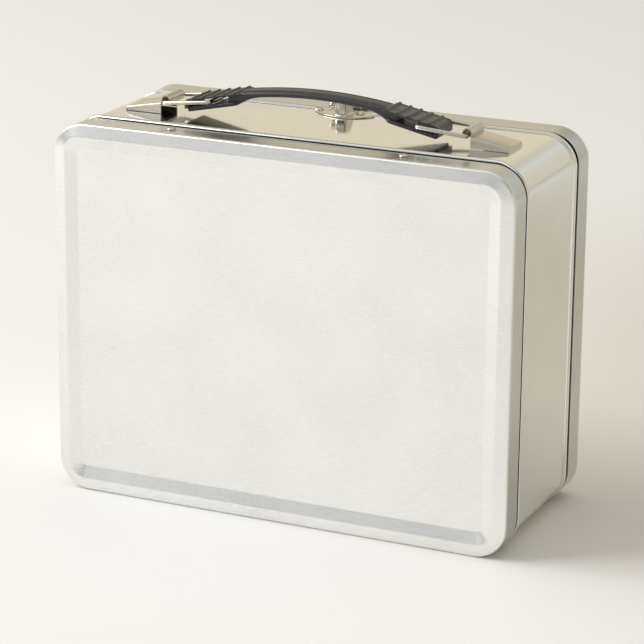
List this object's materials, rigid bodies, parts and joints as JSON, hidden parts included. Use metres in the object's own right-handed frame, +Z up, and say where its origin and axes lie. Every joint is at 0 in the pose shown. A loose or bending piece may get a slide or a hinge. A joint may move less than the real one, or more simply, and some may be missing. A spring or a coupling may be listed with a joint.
{
  "type": "metal lunch box",
  "caption": "Rectangular tinplate lunch box with a hinged rear cover, a top latch and a folding plastic carrying handle on wire links.",
  "frame": {"origin": "middle of the footprint, at the bottom of the covers' flanges", "axes": "+X to the right along the box's width, -Y out of the fixed front cover, +Z up to the handle"},
  "size_m": [0.222, 0.097, 0.1898],
  "materials": {
    "satin_tinplate": "satin",
    "bright_tinplate": "polished",
    "nickel_steel": "polished",
    "black_plastic": "semi-gloss"
  },
  "bodies": {
    "case": {"front_cover": "satin_tinplate", "band": "bright_tinplate", "front_cover_rivets": "nickel_steel", "bracket_left": "nickel_steel", "bracket_right": "nickel_steel", "latch_plate": "nickel_steel", "latch_rivets": "nickel_steel", "latch_pin": "nickel_steel", "case_hinge_leaf": "bright_tinplate", "case_hinge_rivets": "nickel_steel", "hinge_pin": "nickel_steel"},
    "door": {"rear_cover": "satin_tinplate", "door_hinge_leaf": "bright_tinplate", "door_hinge_rivets": "nickel_steel", "strike": "nickel_steel", "strike_rivets": "nickel_steel"},
    "latch": {"latch_hook": "nickel_steel"},
    "handle": {"handle_grip": "black_plastic"},
    "link_left": {"link_left": "nickel_steel"},
    "link_right": {"link_right": "nickel_steel"}
  },
  "joints": [
    {"name": "door_hinge", "type": "hinge", "parent": "case", "child": "door", "pos_m": [0, 0.0339, 0.00125], "axis": [-1, 0, 0], "range_deg": [0, 100]},
    {"name": "latch_hinge", "type": "hinge", "parent": "case", "child": "latch", "pos_m": [-0.0034, 0.0246, 0.1785], "axis": [1, 0, 0], "range_deg": [0, 95]},
    {"name": "handle_lift", "type": "slide", "parent": "case", "child": "handle", "axis": [0, 0, 1], "range_m": [0, 0.015]},
    {"name": "right_link_pivot", "type": "hinge", "parent": "case", "child": "link_right", "pos_m": [0.0738, -0.002, 0.17925], "axis": [0, 1, 0], "range_deg": [0, 38]},
    {"name": "left_link_pivot", "type": "hinge", "parent": "case", "child": "link_left", "pos_m": [-0.0738, -0.002, 0.17925], "axis": [0, -1, 0], "range_deg": [0, 38]}
  ],
  "couplings": [
    {"joint": "right_link_pivot", "follows": "handle_lift", "rad_per_m": 43.6},
    {"joint": "left_link_pivot", "follows": "handle_lift", "rad_per_m": 43.6}
  ]
}
